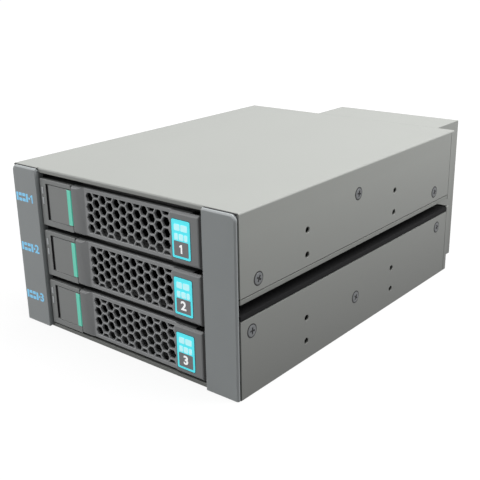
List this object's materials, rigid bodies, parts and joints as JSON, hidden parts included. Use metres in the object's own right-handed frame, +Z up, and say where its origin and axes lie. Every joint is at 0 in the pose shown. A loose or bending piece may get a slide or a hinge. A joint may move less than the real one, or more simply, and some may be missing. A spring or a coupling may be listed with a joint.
{
  "type": "hot swap drive cage",
  "caption": "Sheet metal cage for two 5.25 inch bays with removable 3.5 inch drive trays, honeycomb levers that swing out, a backplane and a rear fan.",
  "frame": {"origin": "middle of the footprint, at the height of the underside", "axes": "+Y from the tray fronts to the fan, +X to the right seen from the front, +Z up"},
  "size_m": [0.146, 0.2282, 0.085],
  "materials": {
    "painted_steel": "satin grey powder coat",
    "grey_plastic": "fine grained",
    "tray_plastic": "fine grained",
    "black_plastic": "moulded",
    "screw_steel": "plated",
    "spring_steel": "bright",
    "circuit_board": "solder resist",
    "socket_plastic": "moulded",
    "header_plastic": "moulded",
    "gasket_rubber": "matte",
    "guard_wire": "plated wire",
    "light_pipe": "frosted clear",
    "mint_plastic": "smooth"
  },
  "bodies": {
    "cage": {"base_pan": "painted_steel", "top_cover": "painted_steel", "mid_rail_left": "painted_steel", "mid_rail_right": "painted_steel", "guide_rack_left": "black_plastic", "guide_rack_right": "black_plastic", "front_pillar_left": "grey_plastic", "front_pillar_right": "grey_plastic", "rear_panel": "painted_steel", "side_screws": "screw_steel", "rear_panel_screws": "screw_steel", "backplane_board": "circuit_board", "board_standoffs": "screw_steel", "board_screws": "screw_steel", "drive_sockets": "socket_plastic", "data_sockets": "socket_plastic", "power_sockets": "header_plastic", "fan_header": "header_plastic", "fan_housing": "painted_steel", "fan_gasket": "gasket_rubber", "fan_frame": "black_plastic", "finger_guard": "guard_wire", "fan_screws": "screw_steel"},
    "fan_rotor": {"fan_rotor": "black_plastic"},
    "tray_1": {"tray_frame_1": "black_plastic", "tray_bezel_1": "tray_plastic", "light_pipes_1": "light_pipe", "lever_pin_1": "spring_steel", "latch_spring_1": "spring_steel"},
    "latch_1": {"latch_1": "tray_plastic", "latch_stripe_1": "mint_plastic"},
    "lever_1": {"lever_1": "tray_plastic"},
    "tray_2": {"tray_frame_2": "black_plastic", "tray_bezel_2": "tray_plastic", "light_pipes_2": "light_pipe", "lever_pin_2": "spring_steel", "latch_spring_2": "spring_steel"},
    "latch_2": {"latch_2": "tray_plastic", "latch_stripe_2": "mint_plastic"},
    "lever_2": {"lever_2": "tray_plastic"},
    "tray_3": {"tray_frame_3": "black_plastic", "tray_bezel_3": "tray_plastic", "light_pipes_3": "light_pipe", "lever_pin_3": "spring_steel", "latch_spring_3": "spring_steel"},
    "latch_3": {"latch_3": "tray_plastic", "latch_stripe_3": "mint_plastic"},
    "lever_3": {"lever_3": "tray_plastic"}
  },
  "joints": [
    {"name": "fan_spin", "type": "hinge", "parent": "cage", "child": "fan_rotor", "pos_m": [0.021, 0.0963, 0.0425], "axis": [0, 1, 0], "continuous": true},
    {"name": "tray_slide_1", "type": "slide", "parent": "cage", "child": "tray_1", "axis": [0, -1, 0], "range_m": [0, 0.14]},
    {"name": "latch_slide_1", "type": "slide", "parent": "tray_1", "child": "latch_1", "axis": [-1, 0, 0], "range_m": [0, 0.0014], "stiffness_N_per_m": 300, "springref_m": -0.003, "deforming": ["latch_spring_1"]},
    {"name": "lever_hinge_1", "type": "hinge", "parent": "tray_1", "child": "lever_1", "pos_m": [0.049, -0.1081, 0.06795], "axis": [0, 0, 1], "range_deg": [0, 50]},
    {"name": "tray_slide_2", "type": "slide", "parent": "cage", "child": "tray_2", "axis": [0, -1, 0], "range_m": [0, 0.14]},
    {"name": "latch_slide_2", "type": "slide", "parent": "tray_2", "child": "latch_2", "axis": [-1, 0, 0], "range_m": [0, 0.0014], "stiffness_N_per_m": 300, "springref_m": -0.003, "deforming": ["latch_spring_2"]},
    {"name": "lever_hinge_2", "type": "hinge", "parent": "tray_2", "child": "lever_2", "pos_m": [0.049, -0.1081, 0.04125], "axis": [0, 0, 1], "range_deg": [0, 50]},
    {"name": "tray_slide_3", "type": "slide", "parent": "cage", "child": "tray_3", "axis": [0, -1, 0], "range_m": [0, 0.14]},
    {"name": "latch_slide_3", "type": "slide", "parent": "tray_3", "child": "latch_3", "axis": [-1, 0, 0], "range_m": [0, 0.0014], "stiffness_N_per_m": 300, "springref_m": -0.003, "deforming": ["latch_spring_3"]},
    {"name": "lever_hinge_3", "type": "hinge", "parent": "tray_3", "child": "lever_3", "pos_m": [0.049, -0.1081, 0.01455], "axis": [0, 0, 1], "range_deg": [0, 50]}
  ]
}
